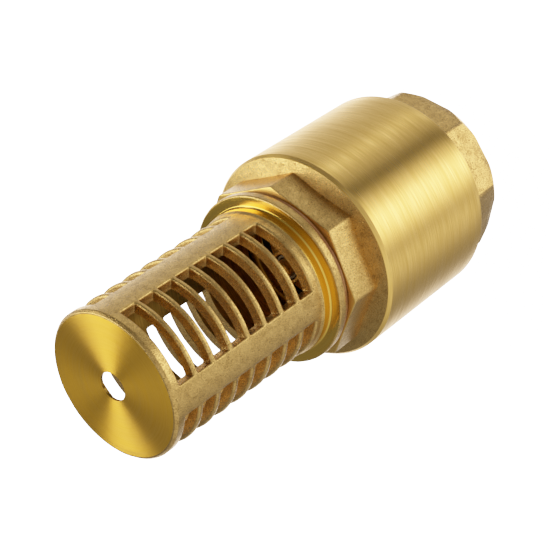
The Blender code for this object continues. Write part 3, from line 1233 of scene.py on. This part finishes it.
@dataclass
class Poppet:
    """The stem and the stack that it carries: plate, seal, disc, lock washer and nut."""

    stem: Extent = field(default_factory=lambda: Extent.of("stem"))
    plate: Extent = field(default_factory=lambda: Extent.of("retainer_plate"))
    seal: Extent = field(default_factory=lambda: Extent.of("seat_seal"))
    disc: Extent = field(default_factory=lambda: Extent.of("poppet_disc"))
    washer: Extent = field(default_factory=lambda: Extent.of("lock_washer"))
    nut: Extent = field(default_factory=lambda: Extent.of("stem_nut"))
    shaft: float = 2.5
    bore: float = 2.8
    collar: float = 4.4
    collar_height: float = 1.3
    gap: float = 0.3
    pitch: float = 0.8
    thread_cut: float = 0.3
    nut_flats: float = 8.0
    lip: float = 0.5
    lip_height: float = 1.2
    spring_face: float = 9.8

    def shaft_outline(self) -> list[Point]:
        """The stem, with thread rings under the nut, a collar over the plate and a domed tip.

        Returns:
            The outline's points.
        """
        corners = [(0.0, self.stem.low, SHARP), (self.shaft, self.stem.low, 0.4)]
        ridge = self.nut.low - 2 * self.pitch
        while ridge < self.washer.high:
            corners += [(self.shaft, ridge, SHARP)]
            corners += [(self.shaft - self.thread_cut, ridge + self.pitch / 2, SHARP)]
            ridge += self.pitch
        low = self.plate.high + self.gap
        high = low + self.collar_height
        corners += [(self.shaft, ridge, SHARP), (self.shaft, low, FINE_EDGE), (self.collar, low, FINE_EDGE)]
        corners += [(self.collar, high, 0.35), (self.shaft, high, FINE_EDGE)]
        corners += [(self.shaft, self.stem.high, 1.6)]
        return rounded(corners + [(0.0, self.stem.high, SHARP)])

    def plate_outline(self) -> list[Point]:
        """The retainer plate: a bevelled rim and a shallow relief on its face.

        Returns:
            The outline's points.
        """
        low, high, reach = self.plate.low, self.plate.high, self.plate.radius
        corners = [(self.bore, low, FINE_EDGE), (reach, low, FINE_EDGE), (reach, low + 0.6, 0.15)]
        corners += [(reach - 1.4, high, SOFT_EDGE)]
        corners += [(reach - 3.2, high, FINE_EDGE), (reach - 3.6, high - 0.3, FINE_EDGE)]
        corners += [(self.collar + 2.0, high - 0.3, FINE_EDGE), (self.collar + 1.6, high, FINE_EDGE)]
        corners += [(self.bore, high, FINE_EDGE)]
        return rounded(corners)

    def disc_outline(self) -> list[Point]:
        """The disc: a cone on the spring's side and a lip that holds the seal's rim.

        Returns:
            The outline's points.
        """
        low, reach = self.disc.low, self.disc.radius
        floor = self.disc.high - self.lip_height
        corners = [(self.bore, low, FINE_EDGE), (self.spring_face, low, SOFT_EDGE)]
        corners += [(reach - 0.6, floor - 1.2, EDGE)]
        corners += [(reach, floor - 0.6, EDGE), (reach, self.disc.high, 0.12)]
        corners += [(reach - self.lip, self.disc.high, 0.12)]
        corners += [(reach - self.lip, floor, FINE_EDGE), (self.bore, floor, FINE_EDGE)]
        return rounded(corners)

    def hexagon(self) -> bpy.types.Object:
        """The nut: a hexagon with turned crowns and a bore.

        Returns:
            The nut.
        """
        low, high = self.nut.low, self.nut.high
        reach = self.nut_flats / 2 / math.cos(math.pi / 6)
        obj = prism("stem_nut_piece", self.nut_flats, low, high, 6, 0.0, 0.12, 0.0)
        crown = [(0.0, low), (reach - 0.7, low), (reach + 0.3, low + 0.6), (reach + 0.3, high - 0.6)]
        crown += [(reach - 0.7, high), (0.0, high)]
        combine(obj, turned("crown", crown, 96), "INTERSECT")
        hole = [(0.0, low - OVER), (self.bore, low - OVER), (self.bore, high + OVER), (0.0, high + OVER)]
        return combine(obj, turned("hole", hole, 64), "DIFFERENCE")

    def build(self, finishes: Finishes) -> None:
        """Turns the stack and screws it together.

        Args:
            finishes: The valve's materials.
        """
        stem = turned("stem_piece", self.shaft_outline(), 64)
        plate = turned("retainer_plate_piece", self.plate_outline())
        disc = turned("poppet_disc_piece", self.disc_outline())
        brass = {"stem": stem, "retainer_plate": plate, "poppet_disc": disc, "stem_nut": self.hexagon()}
        for node, piece in brass.items():
            fit(dress(piece, finishes.turned), Body.POPPET, Slot.TURNED, node)
        flat_ring("seat_seal_piece", self.collar, self.seal, 0.25, finishes.rubber, Body.POPPET, Slot.RUBBER,
                  "seat_seal")
        flat_ring("lock_washer_piece", self.bore, self.washer, 0.12, finishes.steel, Body.POPPET, Slot.STEEL,
                  "lock_washer")


@dataclass
class Guides:
    """What stays put inside the body: the stem's two bushes, the spring's washer and the body's O-ring."""

    bush_bore: float = 2.8
    washer_bore: float = 5.9
    o_ring: float = 23.3
    o_ring_height: float = 15.15
    o_ring_section: float = 0.95

    def build(self, finishes: Finishes) -> None:
        """Makes the four rings.

        Args:
            finishes: The valve's materials.
        """
        for node in ("inlet_bush", "outlet_bush"):
            flat_ring(f"{node}_piece", self.bush_bore, Extent.of(node), 0.15, finishes.plastic, Body.VALVE,
                      Slot.PLASTIC, node)
        flat_ring("spring_washer_piece", self.washer_bore, Extent.of("spring_washer"), 0.2, finishes.steel,
                  Body.VALVE, Slot.STEEL, "spring_washer")
        section = arc((self.o_ring, self.o_ring_height), self.o_ring_section, 0, 360, 20)[:-1]
        fit(dress(turned("body_o_ring_piece", section), finishes.rubber, angle=60), Body.VALVE, Slot.RUBBER,
              "body_o_ring")


@dataclass
class Spring:
    """The compression spring, whose end turns lie close together."""

    extent: Extent = field(default_factory=lambda: Extent.of("spring"))
    anchor: float = 27.4
    wire: float = 0.6
    turns: int = 7
    travel: float = 8.0
    steps: int = 36
    sides: int = 12

    def height(self, turns: float) -> float:
        """Height of the wire's centre after some turns.

        Args:
            turns: Turns from the spring's foot.

        Returns:
            The height.
        """
        closed = 2.6 * self.wire
        low, high = self.extent.low + self.wire, self.extent.high - self.wire
        open_turns = self.turns - 2
        rise = closed * min(turns, 1.0) + closed * max(turns - self.turns + 1, 0.0)
        return low + rise + (high - low - 2 * closed) / open_turns * min(max(turns - 1, 0.0), open_turns)

    def build(self, finishes: Finishes) -> bpy.types.Object:
        """Coils the wire, and gives the piece a mesh of its own.

        Args:
            finishes: The valve's materials.

        Returns:
            The piece.
        """
        bm = bmesh.new()
        coil = self.extent.radius - self.wire
        loops = []
        for k in range(self.turns * self.steps + 1):
            turns = k / self.steps
            loop = []
            for i in range(self.sides):
                angle = TAU * i / self.sides
                radius = coil + self.wire * math.cos(angle)
                height = self.height(turns) + self.wire * math.sin(angle)
                loop.append(bm.verts.new(on_axis(radius, TAU * turns, height)))
            loops.append(loop)
        skin(bm, loops, ring=False, caps=True)
        obj = fit(dress(link("spring_piece", bm), finishes.steel, angle=60), Body.VALVE, Slot.STEEL, "spring")
        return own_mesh(obj)


# ---------------------------------------------------------------- studio


# The strongest light that the film tells apart.
PEAK = 5.0
# Number of stretches in the film's curve.
SHOULDER_STEPS = 16
# Light from under and over the valve's middle: azimuth in degrees from -Y towards +X, and brightness.
BELOW = (
    (-180, 3.0), (-150, 2.6), (-130, 0.80), (-114, 0.40), (-100, 0.42), (-88, 0.64), (-72, 1.30), (-60, 1.50),
    (-52, 0.85), (-46, 1.05), (-34, 2.6), (-18, 4.6), (-8, 4.2), (0, 2.4), (10, 1.25), (20, 0.34), (28, 0.17),
    (38, 0.64), (50, 0.98), (60, 1.90), (70, 0.98), (86, 0.92), (104, 1.06), (124, 1.65), (145, 3.4),
    (180, 3.4),
)
ABOVE = ((-180, 0.24), (-130, 0.50), (-80, 1.3), (-30, 1.2), (20, 0.50), (70, 0.20), (130, 0.15), (180, 0.24))


class Sky(Graph):
    """The world's node tree: light that changes with the direction round the axis."""

    def __init__(self, tree: bpy.types.NodeTree) -> None:
        """Splits the direction of a ray into its parts.

        Args:
            tree: The world's node tree.
        """
        self.tree = tree
        self.tree.nodes.clear()
        axes = self.node("SeparateXYZ")
        self.feed(axes.inputs[0], self.node("TexCoord").outputs["Generated"])
        self.x, self.y, self.z = axes.outputs

    def rise(self, low: float, high: float) -> bpy.types.NodeSocket:
        """Share of the upper light, which fades in above the horizon."""
        return self.span(self.z, low, high)

    def around(self, stops: Sequence[Point]) -> bpy.types.NodeSocket:
        """Light from every side.

        Args:
            stops: Azimuth in degrees from -Y towards +X, and brightness there.

        Returns:
            The brightness as a colour.
        """
        angle = self.math("ARCTAN2", self.x, self.math("MULTIPLY", self.y, -1.0))
        ramp = self.node("ValToRGB")
        self.feed(ramp.inputs[0], self.math("ADD", self.math("DIVIDE", angle, TAU), 0.5))
        ramp.color_ramp.interpolation = "CARDINAL"
        points = ramp.color_ramp.elements
        while len(points) < len(stops):
            points.new(0.5)
        for point, (azimuth, brightness) in zip(points, stops):
            point.position = azimuth / 360 + 0.5
            point.color = (brightness / PEAK, brightness / PEAK, brightness / PEAK, 1.0)
        return ramp.outputs["Color"]


@dataclass
class Studio:
    """A pale floor, soft lights and the camera."""

    eye: Vector = field(default_factory=lambda: Vector((0.0, -0.30856, 0.33167)))
    right: Vector = field(default_factory=lambda: Vector((-0.567, -0.53393, -0.62723)))
    up: Vector = field(default_factory=lambda: Vector((0.82372, -0.36753, -0.43176)))
    lens: float = 99.7
    floor_size: float = 6.0
    floor_drop: float = 0.0002
    aim: Vector = field(default_factory=lambda: Vector((0, 0, 0.06)))
    lamp_place: Vector = field(default_factory=lambda: Vector((0.62, 0.45, 0.774)))
    lamp_size: float = 0.80
    lamp_power: float = 12.0

    def camera(self) -> None:
        """Sets the camera down, tilted over so that the valve lies across the frame."""
        data = bpy.data.cameras.new("camera")
        data.lens = self.lens
        data.sensor_width = 36.0
        data.clip_start = 0.01
        camera = bpy.data.objects.new("camera", data)
        bpy.context.scene.collection.objects.link(camera)
        back = self.right.cross(self.up)
        turn = Matrix((self.right, self.up, back)).transposed().to_4x4()
        camera.matrix_world = Matrix.Translation(self.eye) @ turn
        bpy.context.scene.camera = camera

    def floor(self) -> None:
        """Lays a plain pale floor, which the metal doesn't mirror."""
        bm = bmesh.new()
        bmesh.ops.create_grid(bm, x_segments=8, y_segments=8, size=self.floor_size / 2)
        floor = link("floor", bm)
        floor.location.z = -self.floor_drop
        graph = Graph("pale_floor")
        tone = graph.blend(graph.noise(graph.place(), 60.0), (0.40, 0.40, 0.40), (0.44, 0.44, 0.44))
        graph.feed(graph.shader.inputs["Emission Color"], (1.0, 1.0, 1.0))
        flat = graph.node("NewGeometry").outputs["Normal"]
        pale = graph.surface(tone, 0.9, flat, Specular_IOR_Level=0.0, Emission_Strength=PEAK)
        floor.data.materials.append(pale)
        floor.visible_glossy = False
        floor.visible_diffuse = False

    def world(self) -> None:
        """Surrounds the valve with soft light that changes round the axis, for bands on turned brass."""
        world = bpy.data.worlds.new("studio")
        world.use_nodes = True
        bpy.context.scene.world = world
        sky = Sky(world.node_tree)
        light = sky.blend(sky.rise(-0.40, 0.05), sky.around(BELOW), sky.around(ABOVE))
        seen = sky.node("LightPath").outputs["Is Camera Ray"]
        background = sky.node("Background")
        sky.feed(background.inputs["Color"], sky.blend(seen, light, (1.0, 1.0, 1.0)))
        background.inputs["Strength"].default_value = PEAK
        sky.feed(sky.node("OutputWorld").inputs["Surface"], background.outputs[0])

    def lamp(self) -> None:
        """Hangs one soft square light that faces the valve."""
        data = bpy.data.lights.new("key_light", "AREA")
        data.shape = "SQUARE"
        data.size = self.lamp_size
        data.energy = self.lamp_power
        lamp = bpy.data.objects.new("key_light", data)
        bpy.context.scene.collection.objects.link(lamp)
        lamp.location = self.lamp_place
        lamp.rotation_mode = "QUATERNION"
        lamp.rotation_quaternion = (self.aim - self.lamp_place).to_track_quat("-Z", "Y")

    def build(self) -> None:
        """Sets up the whole studio."""
        self.camera()
        self.floor()
        self.world()
        self.lamp()
        self.film()

    def film(self) -> None:
        """Gives the picture a film's soft shoulder, so that bright brass pales instead of clipping."""
        view = bpy.context.scene.view_settings
        view.view_transform = "Standard"
        view.use_curve_mapping = True
        mapping = view.curve_mapping
        mapping.white_level = (PEAK, PEAK, PEAK)
        points = mapping.curves[3].points
        for k in range(1, SHOULDER_STEPS):
            share = (k / SHOULDER_STEPS) ** 2
            points.new(share, self.response(share * PEAK) / self.response(PEAK))
        mapping.update()

    @staticmethod
    def response(light: float) -> float:
        """How strongly the film answers to an amount of light."""
        return 1 - math.exp(-light)


def main() -> None:
    """Builds the valve and its studio."""
    logging.basicConfig(level=logging.INFO, format="%(message)s")
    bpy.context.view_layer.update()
    finishes = Finishes()
    for sub_assembly in (Strainer(), Gasket(), ValveBody(), OutletEnd(), Guides(), Spring(), Poppet()):
        sub_assembly.build(finishes)
    Studio().build()


if __name__ == "__main__":
    main()
